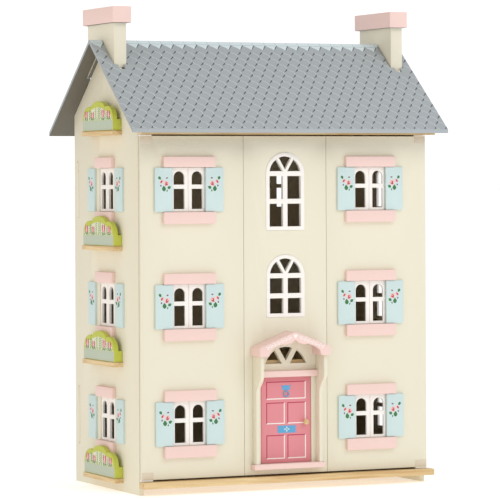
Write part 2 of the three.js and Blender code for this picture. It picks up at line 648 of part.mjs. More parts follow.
function porchSurround() {
  const outer = PORCH_HALF - PILLAR_IN;
  const inner = outer - PILLAR;
  const top = CANOPY_EAVE - FIT;
  const lap = 1;
  const outline = pillarOutline(top);
  const step = box(-PORCH_HALF, PORCH_HALF, -STEP_OUT, -FIT, DOOR_SILL - STEP_HIGH, DOOR_SILL + FIT);
  const lintelFoot = DOOR_TOP + FIT;
  const lintel = box(-inner - lap, inner + lap, -PORCH_LINTEL_OUT, -FIT, lintelFoot,
    lintelFoot + PORCH_LINTEL_HIGH);
  return join(beam(outline, -outer, -inner), beam(outline, inner, outer), step, lintel);
}

place('porch_surround', porchSurround(), cream, centre);

// ---------------------------------------------------------------- chimneys
const STACK_MIDDLE = MIDDLE + STACK_BACK;
const STACK_FRONT = STACK_MIDDLE - STACK_LONG / 2;
const STACK_REAR = STACK_MIDDLE + STACK_LONG / 2;

function chimney() {
  const top = RIDGE + STACK_HIGH;
  const outline = polygon([STACK_FRONT, underRoof(STACK_FRONT)], [MIDDLE, underRoof(MIDDLE)],
    [STACK_REAR, underRoof(STACK_REAR)], [STACK_REAR, top], [STACK_FRONT, top]);
  const half = STACK_WIDE / 2;
  const lap = 1;
  const cap = box(-half - CAP_OUT, half + CAP_OUT, STACK_MIDDLE - CAP_LONG / 2, STACK_MIDDLE + CAP_LONG / 2,
    top - lap, top + CAP_HIGH);
  return join(beam(outline, -half, half), cap);
}

const chimneyShape = toGeometry(chimney());
place('chimney_left', chimneyShape, cream).position.x = STACK_IN_LEFT;
place('chimney_right', chimneyShape, cream).position.x = WIDTH - STACK_IN_RIGHT;

// ---------------------------------------------------------------- roof
// One slope, with a notch around each chimney stack and a slot below it. side is -1 for the front slope.
function roofSlope(side) {
  const eave = MIDDLE + side * (MIDDLE + EAVE_OUT);
  const ridge = MIDDLE + side * RIDGE_GAP / 2;
  const top = (y) => RIDGE - SLOPE * Math.abs(y - MIDDLE);
  const outline = polygon([ridge, top(ridge)], [eave, top(eave)],
    [eave, underRoof(eave)], [ridge, underRoof(ridge)]);
  const notchEnd = side < 0 ? STACK_FRONT - STACK_ROOM : STACK_REAR + STACK_ROOM;
  const half = STACK_WIDE / 2 + STACK_ROOM;
  const gap = (x, reach, end) => box(x - reach, x + reach, Math.min(end, MIDDLE - side),
    Math.max(end, MIDDLE - side), ATTIC_TOP, RIDGE + 1);
  const gaps = [STACK_IN_LEFT, WIDTH - STACK_IN_RIGHT].flatMap((x) => [gap(x, half, notchEnd),
    gap(x, SLOT_WIDE / 2, notchEnd + side * SLOT_LONG)]);
  return cut(beam(outline, -VERGE_LEFT, WIDTH + VERGE_RIGHT), ...gaps);
}

place('roof_front', roofSlope(-1), slate);
place('roof_rear', roofSlope(1), slate);

// ---------------------------------------------------------------- frame
// The roof is the widest and deepest piece, so its middle is the middle of the house.
house.position.set(-(WIDTH + VERGE_RIGHT - VERGE_LEFT) / 2, -MIDDLE, 0);
const dollhouse = new THREE.Group();
dollhouse.name = 'dollhouse';
dollhouse.add(house);

export default dollhouse;
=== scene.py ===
"""A painted wooden dolls' house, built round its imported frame."""

import json
import math

import bmesh
import bpy
from bpy.props import FloatProperty, FloatVectorProperty, IntProperty, PointerProperty
from mathutils import Euler, Matrix, Vector


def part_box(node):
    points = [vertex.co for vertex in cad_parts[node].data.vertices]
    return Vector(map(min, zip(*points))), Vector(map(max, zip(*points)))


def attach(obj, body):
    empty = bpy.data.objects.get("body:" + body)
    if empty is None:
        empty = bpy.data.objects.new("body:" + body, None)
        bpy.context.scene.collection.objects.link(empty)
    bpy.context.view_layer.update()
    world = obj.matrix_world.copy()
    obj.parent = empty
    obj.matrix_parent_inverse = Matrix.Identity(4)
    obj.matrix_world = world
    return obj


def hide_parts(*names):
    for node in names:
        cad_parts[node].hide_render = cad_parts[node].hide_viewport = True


bl_info = {
    "name": "Painted wooden dolls' house",
    "version": (1, 0, 0),
    "blender": (4, 5, 0),
    "location": "3D View > Sidebar > Dolls' house",
    "description": "Builds a painted dolls' house with shutters, casements, a porch and a tiled roof",
    "category": "Object",
}

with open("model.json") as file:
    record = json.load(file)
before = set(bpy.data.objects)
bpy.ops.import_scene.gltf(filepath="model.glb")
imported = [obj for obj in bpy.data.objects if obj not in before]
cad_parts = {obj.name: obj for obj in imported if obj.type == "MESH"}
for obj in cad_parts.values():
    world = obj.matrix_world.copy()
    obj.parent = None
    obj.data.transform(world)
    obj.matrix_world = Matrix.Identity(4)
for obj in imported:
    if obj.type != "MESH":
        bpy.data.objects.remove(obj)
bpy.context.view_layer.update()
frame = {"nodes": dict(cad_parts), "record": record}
BODIES = frame["record"]["behaviour"]["bodies"]
BODY_OF = {node: body for body, nodes in BODIES.items() for node in nodes}
MM = 0.001

# House coordinates in millimetres: x from the left wall's face, y back from the front face, z up.
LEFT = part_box("base_board")[0].x
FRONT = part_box("leaf_centre")[0].y
SLOPE = math.radians(38.8)
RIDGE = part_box("roof_front")[1].z / MM + 0.2 * math.tan(SLOPE)
MIDDLE = (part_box("roof_rear")[1].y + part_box("roof_front")[0].y) / 2 / MM - FRONT / MM
BOARD = 9.0                 # leaves, walls and floors
WIDTH = (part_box("wall_back")[1].x - LEFT) / MM + BOARD + 0.3
DEPTH = (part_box("wall_back")[1].y - FRONT) / MM
STOREYS = ("ground", "first", "second")

# Sizes of pieces that share a solid of the frame, so that no box gives them, in millimetres.
TRIM_OUT, SILL_HIGH, LINTEL_HIGH = 8, 22.3, 20.3
FRONT_TRIM_HALF, SIDE_TRIM_HALF = 53, 43
SHUTTER_WIDE, SHUTTER_HIGH, SHUTTER_THICK = 36.8, 83, 4.5
SIDE_SHUTTER_START = 51.5   # from the middle of a side window to its fixed shutters
LEDGE_OUT, LEDGE_HALF, LEDGE_NAIL = 20, 80, 62
STEP_OUT, PILLAR_INNER = 18, 63
PORCH_LINTEL_OUT, PORCH_LINTEL_HIGH = 11.5, 12
CANOPY_RISE = 29.0
CAP_HIGH = 31.0             # from the foot of a chimney cap to its top
NOTCH_FRONT, NOTCH_REAR = 79.5, 103.7   # length of the chimney notches down each slope
NOTCH_HALF, STACK_HALF, SLOT_HALF, SLOT_LONG = 15.3, 15, 6.8, 14.5
FIRST_ROW, LAST_PRINT = 33.4, 276.0     # first row of tiles and end of the prints, below the ridge
VERGE_BARE = 0.7            # unprinted strip along the verges
PIVOT_IN, COVER_IN = 4.5, 24.0          # a leaf's pivot and the end of its cover, from its outer edge
HINGE_HEIGHTS = (135.0, 355.0, 575.0)

SPRAY_DROP = 3.7
PRINT_SINK = 0.05           # depth of a printed patch below its face
SHARP = math.radians(38)    # edges sharper than this stay crisp in the shading
ROUNDED = math.radians(28)  # edges sharper than this are rounded


def at(x, y, z):
    """A point of the house in the row's frame."""
    return Vector((LEFT + x * MM, FRONT + y * MM, z * MM))


def house_box(node):
    """A node's box in house coordinates."""
    low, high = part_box(node)
    return [((c.x - LEFT) / MM, (c.y - FRONT) / MM, c.z / MM) for c in (low, high)]


def paint(red, green, blue):
    """A paint chart's 0 to 255 values as a linear colour."""
    def linear(value):
        value /= 255
        return value / 12.92 if value <= 0.04045 else ((value + 0.055) / 1.055) ** 2.4
    return tuple(linear(value) for value in (red, green, blue))


# ------------------------------------------------------------------ sizes and colours a user may change
def length(name, default, description):
    return FloatProperty(name=name, default=default * MM, min=0.0, subtype="DISTANCE",
                         unit="LENGTH", precision=5, description=description)


def colour(name, default, description):
    return FloatVectorProperty(name=name, default=default, size=3, min=0.0, max=1.0, subtype="COLOR",
                               description=description)


class DollhouseSizes(bpy.types.PropertyGroup):
    board_edge: length("Board edge", 0.6, "Rounding along the edges of the boards")
    trim_edge: length("Trim edge", 1.0, "Rounding along lintels, sills and caps")
    small_edge: length("Small edge", 0.4, "Rounding along casements, shutters and bars")
    print_lift: length("Print thickness", 0.12, "Thickness of the printed patterns")
    tile_wide: length("Tile width", 22.9, "Width of one printed roof tile")
    tile_pitch: length("Tile pitch", 18.26, "Distance between rows of printed roof tiles")
    tile_line: length("Tile line", 1.1, "Width of a tile's pale outline")
    ridge_wide: length("Ridge scallop", 24.41, "Width of one printed scallop along the ridge")
    nail_size: length("Nail head", 0.9, "Radius of a nail head")
    tile_rows: IntProperty(name="Tile rows", default=14, min=1, description="Rows of tiles on a slope")
    tile_columns: IntProperty(name="Tile columns", default=30, min=1, description="Tiles in a row")


class DollhouseColours(bpy.types.PropertyGroup):
    cream: colour("Cream", paint(236, 231, 211), "Walls and front leaves")
    pink: colour("Pale pink", paint(240, 210, 203), "Lintels, sills, canopy, step and chimney caps")
    blue: colour("Shutter blue", paint(203, 224, 224), "Shutters")
    roof: colour("Roof", paint(163, 173, 179), "Roof slopes")
    roof_line: colour("Tile outline", paint(208, 215, 218), "Pale outlines of the tiles")
    roof_tick: colour("Tile shadow", paint(84, 90, 95), "Dark strokes between the tiles")
    # Painted shade: a dark taupe put on the faces that look down, standing in for the shade under the roof
    # slopes and the chimneys
    roof_under: colour("Roof underside", paint(106, 101, 90), "Undersides of the roof slopes and chimneys")
    ridge: colour("Ridge", paint(214, 228, 232), "Scalloped band along the ridge")
    ridge_line: colour("Ridge line", paint(150, 166, 174), "Thin lines on the ridge band")
    wood_light: colour("Wood, light", paint(232, 207, 158), "Early wood of the bare boards")
    wood_dark: colour("Wood, dark", paint(206, 170, 116), "Late wood of the bare boards")
    white: colour("White", paint(246, 243, 238), "Casements and arched windows")
    door: colour("Door pink", paint(224, 141, 149), "Front door")
    door_dark: colour("Door line", paint(186, 52, 90), "Shaded lines round the door's panels")
    lime: colour("Lime", paint(197, 204, 78), "Flower boxes")
    sage: colour("Sage", paint(186, 198, 178), "Band along the flower boxes")
    cover: colour("Pivot cover", paint(222, 210, 190), "Covers of the leaves' pivots")
    garden: colour("Garden", paint(222, 222, 196), "Ground of the printed gardens")
    rose: colour("Rose", paint(243, 196, 194), "Outer petals")
    tulip: colour("Tulip", paint(190, 70, 100), "Tulips of the flower boxes")
    crimson: colour("Crimson", paint(190, 62, 84), "Inner petals")
    leaf: colour("Leaf green", paint(58, 120, 66), "Printed leaves")
    sprig: colour("Sprig green", paint(126, 168, 84), "Small printed sprigs")
    mauve: colour("Mauve", paint(128, 66, 96), "Printed buds")
    sky: colour("Door blue", paint(92, 168, 214), "Knocker and letter plate")


def sizes():
    return bpy.context.scene.dollhouse_sizes


def colours():
    return bpy.context.scene.dollhouse_colours


# ------------------------------------------------------------------ finishes
def socket(group, name, kind, out=False, default=None):
    item = group.interface.new_socket(name=name, in_out="OUTPUT" if out else "INPUT", socket_type=kind)
    if default is not None:
        item.default_value = default
    return item


def add_node(tree, kind, inputs=None, **settings):
    """A node with its settings and inputs, where an input is a value or another node's output."""
    node = tree.nodes.new(kind)
    for key, value in settings.items():
        setattr(node, key, value)
    for key, value in (inputs or {}).items():
        if isinstance(value, bpy.types.NodeSocket):
            tree.links.new(value, node.inputs[key])
        else:
            node.inputs[key].default_value = value
    return node


def effect_group(name, inputs):
    """A new shader group with these inputs, which puts out a colour, a roughness and a height."""
    group = bpy.data.node_groups.new(name, "ShaderNodeTree")
    socket(group, "Vector", "NodeSocketVector")
    for label, kind, default in inputs:
        socket(group, label, kind, default=default)
    for label, kind in (("Colour", "Color"), ("Roughness", "Float"), ("Height", "Float")):
        socket(group, label, "NodeSocket" + kind, out=True)
    return group


def noise(group, place, detail, scale=1.0, distortion=0.0):
    return add_node(group, "ShaderNodeTexNoise", {
        "Vector": place, "Scale": scale, "Detail": detail, "Distortion": distortion}).outputs["Fac"]


def paint_film():
    """Node group: brush-marked paint with a faint mottle and the board's grain showing through."""
    group = bpy.data.node_groups.get("paint_film")
    if group:
        return group
    group = effect_group("paint_film", (("Colour", "NodeSocketColor", (0.8, 0.8, 0.8, 1)),
                                        ("Mottle", "NodeSocketFloat", 0.04),
                                        ("Gloss", "NodeSocketFloat", 0.5)))
    given = add_node(group, "NodeGroupInput").outputs
    stretch = add_node(group, "ShaderNodeMapping", {"Vector": given["Vector"], "Scale": (260, 260, 16)})
    cloud = noise(group, given["Vector"], 5, 22)
    grain = noise(group, stretch.outputs[0], 3)
    peel = noise(group, given["Vector"], 1, 1100)
    tone = add_node(group, "ShaderNodeMix", {"Factor": 0.35, "A": cloud, "B": grain}).outputs["Result"]
    height = add_node(group, "ShaderNodeMix", {"Factor": 0.45, "A": peel, "B": grain}).outputs["Result"]
    centred = add_node(group, "ShaderNodeMath", {0: tone, 1: 0.5}, operation="SUBTRACT").outputs[0]
    value = add_node(group, "ShaderNodeMath", {0: centred, 1: given["Mottle"], 2: 1.0},
                     operation="MULTIPLY_ADD").outputs[0]
    tint = add_node(group, "ShaderNodeHueSaturation", {"Value": value, "Color": given["Colour"]})
    rough = add_node(group, "ShaderNodeMath", {0: centred, 1: 0.25, 2: given["Gloss"]},
                     operation="MULTIPLY_ADD").outputs[0]
    add_node(group, "NodeGroupOutput", {"Colour": tint.outputs[0], "Roughness": rough, "Height": height})
    return group


def timber_grain():
    """Node group: birch grain that runs along x, with fine pores."""
    group = bpy.data.node_groups.get("timber_grain")
    if group:
        return group
    group = effect_group("timber_grain", (("Light", "NodeSocketColor", (0.8, 0.6, 0.35, 1)),
                                          ("Dark", "NodeSocketColor", (0.6, 0.4, 0.2, 1))))
    given = add_node(group, "NodeGroupInput").outputs
    wide = add_node(group, "ShaderNodeMapping", {"Vector": given["Vector"], "Scale": (7, 90, 190)})
    fine = add_node(group, "ShaderNodeMapping", {"Vector": given["Vector"], "Scale": (60, 1500, 1500)})
    rings = noise(group, wide.outputs[0], 6, distortion=0.6)
    pore = noise(group, fine.outputs[0], 2)
    ramp = add_node(group, "ShaderNodeValToRGB", {0: rings})
    ramp.color_ramp.elements[0].position = 0.36
    ramp.color_ramp.elements[1].position = 0.66
    mix = add_node(group, "ShaderNodeMix", {
        "Factor": ramp.outputs[0], "A": given["Light"], "B": given["Dark"]}, data_type="RGBA")
    rough = add_node(group, "ShaderNodeMapRange", {"Value": pore, "To Min": 0.45, "To Max": 0.65})
    add_node(group, "NodeGroupOutput", {
        "Colour": mix.outputs["Result"], "Roughness": rough.outputs[0], "Height": pore})
    return group


def finish_material(name, group, values, turn=(0, 0, 0), bump=0.1, metallic=0.0):
    """A material whose colour, roughness and bump come from a node group on Object coordinates."""
    material = bpy.data.materials.get(name)
    if material:
        return material
    material = bpy.data.materials.new(name)
    material.use_nodes = True
    tree = material.node_tree
    place = add_node(tree, "ShaderNodeTexCoord")
    mapping = add_node(tree, "ShaderNodeMapping", {"Vector": place.outputs["Object"], "Rotation": turn})
    given = {key: (*value, 1) if isinstance(value, tuple) else value for key, value in values.items()}
    effect = add_node(tree, "ShaderNodeGroup", {"Vector": mapping.outputs[0], **given}, node_tree=group)
    relief = add_node(tree, "ShaderNodeBump", {
        "Strength": bump, "Distance": 0.0004, "Height": effect.outputs["Height"]})
    shader = tree.nodes["Principled BSDF"]
    shader.inputs["Metallic"].default_value = metallic
    tree.links.new(effect.outputs["Colour"], shader.inputs["Base Color"])
    tree.links.new(effect.outputs["Roughness"], shader.inputs["Roughness"])
    tree.links.new(relief.outputs[0], shader.inputs["Normal"])
    return material


def painted(name, gloss=0.5, mottle=0.06):
    """A paint of the colour that has this name. A name keeps the gloss and mottle of its first use."""
    return finish_material(name + "_paint", paint_film(), {
        "Colour": tuple(getattr(colours(), name)), "Gloss": gloss, "Mottle": mottle}, bump=0.12)


def bare_wood(run="x"):
    """Clear-finished wood whose grain runs along x or y."""
    return finish_material("bare_wood_" + run, timber_grain(), {
        "Light": tuple(colours().wood_light), "Dark": tuple(colours().wood_dark)},
        turn=(0, 0, math.pi / 2 if run == "y" else 0), bump=0.25)


def metal():
    return finish_material("nail_steel", paint_film(), {
        "Colour": (0.42, 0.38, 0.34), "Gloss": 0.35, "Mottle": 0.2}, metallic=0.9)


def nylon():
    return finish_material("pivot_nylon", paint_film(), {
        "Colour": (0.86, 0.85, 0.82), "Gloss": 0.4, "Mottle": 0.03}, bump=0.05)


# ------------------------------------------------------------------ shapes
def add_piece(name, shape, materials, body, stands_for=()):
    """Makes the finished object of a piece, which rides on a body of the frame."""
    mesh = bpy.data.meshes.new(name)
    bmesh.ops.recalc_face_normals(shape, faces=shape.faces[:])
    shape.normal_update()
    shape.to_mesh(mesh)
    shape.free()
    for material in materials:
        mesh.materials.append(material)
    mesh.shade_smooth()
    mesh.set_sharp_from_angle(angle=SHARP)
    piece = bpy.data.objects.new(name, mesh)
    bpy.context.scene.collection.objects.link(piece)
    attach(piece, body)
    if stands_for:
        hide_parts(*stands_for)


def round_edges(shape, radius):
    edges = [e for e in shape.edges if len(e.link_faces) == 2 and e.calc_face_angle(0) > ROUNDED]
    if edges and radius > 0:
        bmesh.ops.bevel(shape, geom=edges, offset=radius, segments=2, profile=0.5, affect="EDGES",
                        clamp_overlap=True)


def slice_off(shape, point, normal, dist):
    """Cuts away the side of a plane that its normal points to, and closes the cut."""
    bmesh.ops.bisect_plane(shape, geom=shape.verts[:] + shape.edges[:] + shape.faces[:], dist=dist,
                           plane_co=point, plane_no=normal, clear_outer=True)
    bmesh.ops.holes_fill(shape, edges=[e for e in shape.edges if e.is_boundary], sides=0)


def shade_downward_faces(shape):
    """Gives the faces that look down the piece's second finish, which is a painted shade under the piece.
    """
    shape.normal_update()
    for face in shape.faces:
        face.material_index = int(face.normal.z < -0.4)


def carved(node, planes=(), radius=None):
    """A copy of a node's solid, cut to the side of each plane that its normal points away from."""
    shape = bmesh.new()
    shape.from_mesh(frame["nodes"][node].data)
    bmesh.ops.remove_doubles(shape, verts=shape.verts, dist=2e-5)
    for point, normal in planes:
        slice_off(shape, point, normal, 1e-6)
    bmesh.ops.dissolve_limit(shape, angle_limit=math.radians(0.4), verts=shape.verts[:],
                             edges=shape.edges[:], use_dissolve_boundaries=False)
    bmesh.ops.recalc_face_normals(shape, faces=shape.faces[:])
    round_edges(shape, sizes().board_edge if radius is None else radius)
    return shape


def block(low, high, radius, segments=3, shape=None):
    """A board or bar between two corners in house coordinates, with its edges rounded."""
    shape = shape or bmesh.new()
    low, high = at(*low), at(*high)
    made = bmesh.ops.create_cube(shape, size=1.0)["verts"]
    for vert in made:
        vert.co = Vector([low[i] + (high[i] - low[i]) * (vert.co[i] + 0.5) for i in range(3)])
    edges = {e for v in made for e in v.link_edges}
    bmesh.ops.bevel(shape, geom=list(edges), offset=radius * MM, segments=segments, profile=0.5,
                    affect="EDGES", clamp_overlap=True)
    return shape


def inlay(shape, outline, place, thick, index=0):
    """A thin printed patch from an outline of (u, v). place turns (u, v, height) into a point."""
    count = len(outline)
    low = [shape.verts.new(place(u, v, -PRINT_SINK)) for u, v in outline]
    high = [shape.verts.new(place(u, v, thick)) for u, v in outline]
    faces = [shape.faces.new(high), shape.faces.new(low[::-1])]
    for i in range(count):
        faces.append(shape.faces.new((low[i], low[(i + 1) % count], high[(i + 1) % count], high[i])))
    for face in faces:
        face.material_index = index


def oval(u, v, across, high, lean=0.0, count=14):
    """An ellipse's outline about (u, v); lean is in degrees."""
    turn = math.radians(lean)
    points = []
    for i in range(count):
        a = 2 * math.pi * i / count
        x, y = across * math.cos(a), high * math.sin(a)
        points.append((u + x * math.cos(turn) - y * math.sin(turn),
                       v + x * math.sin(turn) + y * math.cos(turn)))
    return points


def leaf_outline(u, v, across, high, lean=0.0):
    """A pointed leaf about (u, v), whose tip points up before it leans."""
    turn = math.radians(lean)
    side = [(0.0, -0.9), (0.62, -0.62), (0.95, -0.05), (0.62, 0.5), (0.2, 0.88), (0.0, 1.05)]
    around = side + [(-x, y) for x, y in side[-2:0:-1]]
    return [(u + x * across * math.cos(turn) - y * high * math.sin(turn),
             v + x * across * math.sin(turn) + y * high * math.cos(turn)) for x, y in around]


def heart_outline(u, v, size):
    points = []
    for i in range(20):
        a = 2 * math.pi * i / 20 + 0.001
        points.append((u + size * math.sin(a) ** 3,
                       v + size * (13 * math.cos(a) - 5 * math.cos(2 * a) - 2 * math.cos(3 * a)
                                   - math.cos(4 * a)) / 16))
    return points[::-1]


def stroke(points, width):
    """The outline of a pen stroke through the points, narrowing a little at both ends."""
    left, right = [], []
    for i, (u, v) in enumerate(points):
        before, after = points[max(i - 1, 0)], points[min(i + 1, len(points) - 1)]
        du, dv = after[0] - before[0], after[1] - before[1]
        size = math.hypot(du, dv) or 1
        half = width / 2 * (0.55 if i in (0, len(points) - 1) else 1.0)
        left.append((u - dv / size * half, v + du / size * half))
        right.append((u + dv / size * half, v - du / size * half))
    return right + left[::-1]


def turned(shape, profile, centre, axis, steps):
    """A turned solid: profile is (radius, travel along the axis) in millimetres, closed on the axis."""
    axis = Vector(axis).normalized()
    side = axis.orthogonal().normalized()
    other = axis.cross(side)
    rings = []
    for radius, travel in profile:
        point = centre + axis * travel * MM
        if radius < 1e-6:
            rings.append([shape.verts.new(point)])
            continue
        rings.append([shape.verts.new(point + (side * math.cos(a) + other * math.sin(a)) * radius * MM)
                      for a in (2 * math.pi * i / steps for i in range(steps))])
    for first, second in zip(rings, rings[1:]):
        for i in range(steps):
            j = (i + 1) % steps
            ring = [first[i % len(first)], first[j % len(first)], second[j % len(second)],
                    second[i % len(second)]]
            unique = list(dict.fromkeys(ring))
            if len(unique) > 2:
                shape.faces.new(unique)


def nail(shape, centre, axis, radius):
    """A domed nail head."""
    turned(shape, [(0, -0.4), (radius, -0.4), (radius, 0.12), (radius * 0.7, 0.32), (0, 0.4)],
           centre, axis, 12)


# ------------------------------------------------------------------ printed sprays
def spray(shape, place, mirror, thick):
    """A rose, a bud and leaves. u runs across from the shutter's left edge, v down from its top."""
    def put(outline, index, lift=1.0):
        inlay(shape, [(SHUTTER_WIDE - u if mirror else u, v + SPRAY_DROP)
                      for u, v in outline][::-1 if mirror else 1],
              lambda u, v, h: place(u, v, h * (lift if h > 0 else 1)), thick, index)
    put(leaf_outline(27.6, 15.6, 3.0, 3.8, 35), 2)
    put(leaf_outline(8.2, 33.6, 3.2, 4.0, 120), 2)
    put(leaf_outline(18.8, 35.8, 4.4, 5.6, 185), 2)
    put(leaf_outline(12.4, 39.6, 1.3, 2.4, 160), 2)
    put(oval(12.6, 15.6, 2.3, 1.3, 10), 3)
    put(oval(25.0, 30.2, 1.5, 1.7, 0), 3)
    for angle in range(0, 360, 60):
        a = math.radians(angle)
        put(oval(13.6 + 2.9 * math.cos(a), 26.0 + 3.1 * math.sin(a), 2.6, 2.3, angle), 0, 1.0 + angle / 900)
    put(oval(22.8, 22.4, 3.1, 4.4, -38), 0, 1.1)
    put(oval(13.4, 26.0, 2.7, 3.4, 12), 1, 2.0)
    put(oval(15.2, 28.6, 1.6, 1.1, 50), 1, 2.2)
    put(oval(24.0, 22.6, 1.6, 3.2, -38), 1, 2.0)
    put(oval(12.6, 25.2, 1.0, 1.4, 20), 0, 2.9)


def spray_finishes():
    return [painted(name) for name in ("rose", "crimson", "leaf", "mauve")]


# ------------------------------------------------------------------ operators
class DOLLHOUSE_OT_walls(bpy.types.Operator):
    """Side walls, back wall and the rails nailed to the left wall"""
    bl_idname = "dollhouse.walls"
    bl_label = "Walls"

    def execute(self, context):
        cream = painted("cream")
        left = carved("wall_left", [(at(0, 0, 0), (-1, 0, 0))])
        add_piece("side_wall_left", left, [cream], "house", ["wall_left"])
        right = carved("wall_right", [(at(WIDTH, 0, 0), (1, 0, 0))])
        add_piece("side_wall_right", right, [cream], "house", ["wall_right"])
        add_piece("back_panel", carved("wall_back"), [cream], "house", ["wall_back"])
        nails = bmesh.new()
        rails = bmesh.new()
        for low, high in ((74, 189), (516, 630)):
            block((-0.9, 312.5, low), (0.3, 319.5, high), 0.4, 2, rails)
            for z in (low, high):
                nail(nails, at(-0.9, 316, z + (2.5 if z == low else -2.5)), (-1, 0, 0), 1.3)
        add_piece("wall_rails", rails, [cream], "house")
        add_piece("wall_rail_nails", nails, [metal()], "house")
        return {"FINISHED"}


class DOLLHOUSE_OT_boards(bpy.types.Operator):
    """Base board, floors and the ledges under the flower boxes"""
    bl_idname = "dollhouse.boards"
    bl_label = "Boards and ledges"

    def execute(self, context):
        wood = bare_wood("x")
        for node in ("base_board", "floor_first", "floor_second", "floor_attic"):
            add_piece(node + "_board", carved(node), [wood], "house", [node])
        low = house_box("floor_first")[0][2]
        storey = house_box("floor_second")[0][2] - low
        for level, name in enumerate(("ground", "first", "second", "attic")):
            top = low + BOARD + (level - 1) * storey
            ledge = block((-LEDGE_OUT, MIDDLE - LEDGE_HALF, top - BOARD),
                          (0.5, MIDDLE + LEDGE_HALF, top), 1.2)
            add_piece(f"ledge_{name}", ledge, [bare_wood("y")], "house")
            nails = bmesh.new()
            for y in (MIDDLE - LEDGE_NAIL, MIDDLE + LEDGE_NAIL):
                nail(nails, at(-LEDGE_OUT, y, top - BOARD / 2), (-1, 0, 0), sizes().nail_size / MM)
            add_piece(f"ledge_nails_{name}", nails, [metal()], "house")
        return {"FINISHED"}


class DOLLHOUSE_OT_leaves(bpy.types.Operator):
    """The three front leaves, their pivot blocks and the fold's hinges"""
    bl_idname = "dollhouse.leaves"
    bl_label = "Front leaves"

    def execute(self, context):
        cream = painted("cream")
        foot, top = house_box("leaf_centre")[0][2], house_box("leaf_centre")[1][2]
        planes = [(at(0, 0, 0), (0, -1, 0)), (at(0, 0, foot), (0, 0, -1)), (at(0, 0, top), (0, 0, 1))]
        for side in ("left", "right"):
            node = "leaf_" + side
            add_piece(f"front_{node}", carved(node, planes), [cream], node, [node])
            low, high = house_box(node)
            outer = low[0] if side == "left" else high[0]
            way_in = 1 if side == "left" else -1
            pivot, inner = outer + way_in * PIVOT_IN, outer + way_in * COVER_IN
            blocks = bmesh.new()
            for z0, z1, end, way in ((foot - 3.0, foot + 0.2, low[2], -1),
                                     (top - 0.2, top + 2.5, high[2], 1)):
                block((min(outer, inner), 0.3, z0), (max(outer, inner), 8.7, z1), 0.4, 2, blocks)
                start = z0 if way < 0 else z1
                turned(blocks, [(0, 0), (2.5, 0), (2.5, abs(end - start) - 0.5), (2.0, abs(end - start)),
                                (0, abs(end - start))], at(pivot, 4.5, start), (0, 0, way), 20)
            add_piece(f"pivot_blocks_{side}", blocks, [nylon()], node)
            corners = bmesh.new()
            for z0, z1 in ((foot + 0.6, foot + 14), (top - 14, top - 0.6)):
                near, far = sorted((outer + way_in * 0.6, inner))
                block((near, -0.5, z0), (far, 0.2, z1), 0.25, 2, corners)
            add_piece(f"pivot_covers_{side}", corners, [painted("cover", 0.5)], node)
        add_piece("front_leaf_centre", carved("leaf_centre"), [cream], "leaf_centre", ["leaf_centre"])
        seam = house_box("leaf_left")[1][0] + 0.5
        for body, side, parts in (("leaf_left", -1, (0, 2)), ("leaf_centre", 1, (1,))):
            hinges = bmesh.new()
            for middle in HINGE_HEIGHTS:
                near, far = sorted((seam + side * 1.3, seam + side * 13))
                block((near, 8.9, middle - 15), (far, 9.6, middle + 15), 0.2, 2, hinges)
                for part in parts:
                    turned(hinges, [(0, 0.1), (1.15, 0.1), (1.15, 9.9), (0, 9.9)],
                           at(seam, 10, middle - 15 + part * 10), (0, 0, 1), 16)
            add_piece(f"fold_hinges_{body}", hinges, [metal()], body)
        return {"FINISHED"}


class DOLLHOUSE_OT_windows(bpy.types.Operator):
    """Casements and the arched windows over the door"""
    bl_idname = "dollhouse.windows"
    bl_label = "Windows"

    def execute(self, context):
        white = painted("white", 0.42, 0.03)
        edge = sizes().small_edge
        for node, body in BODY_OF.items():
            if node.startswith(("casement", "arched")):
                add_piece(node + "_frame", carved(node, radius=edge), [white], body, [node])
        return {"FINISHED"}


class DOLLHOUSE_OT_shutters(bpy.types.Operator):
    """Swinging shutters on the front, fixed ones on the sides, and their printed sprays"""
    bl_idname = "dollhouse.shutters"
    bl_label = "Shutters"

    def execute(self, context):
        blue = painted("blue", 0.48, 0.05)
        thick = sizes().print_lift / MM
        for node, body in BODY_OF.items():
            if not node.startswith("shutter"):
                continue
            add_piece(node + "_board", carved(node, radius=0.5 * MM), [blue], body, [node])
            low, high = house_box(node)
            shape = bmesh.new()
            spray(shape, lambda u, v, h: at(low[0] + u, low[1] - h, high[2] - v),
                  node.endswith("left"), thick)
            add_piece(node.replace("shutter", "spray"), shape, spray_finishes(), body)
        for storey in STOREYS:
            low = house_box(f"casement_left_wall_{storey}_left")[0][2]
            for wall, face, out in (("left", 0.0, -1), ("right", WIDTH, 1)):
                for end, start in (("front", MIDDLE - SIDE_SHUTTER_START - SHUTTER_WIDE),
                                   ("rear", MIDDLE + SIDE_SHUTTER_START)):
                    near, far = sorted((face - out * 0.3, face + out * SHUTTER_THICK))
                    top = low + SHUTTER_HIGH
                    board = block((near, start, low), (far, start + SHUTTER_WIDE, top), 0.6)
                    add_piece(f"fixed_shutter_{wall}_{storey}_{end}", board, [blue], "house")
                    shape = bmesh.new()

                    def place(u, v, h):
                        along = start + (SHUTTER_WIDE - u if out < 0 else u)
                        return at(face + out * (SHUTTER_THICK + h), along, top - v)
                    spray(shape, place, (end == "rear") == (out < 0), thick)
                    add_piece(f"fixed_spray_{wall}_{storey}_{end}", shape, spray_finishes(), "house")
        return {"FINISHED"}


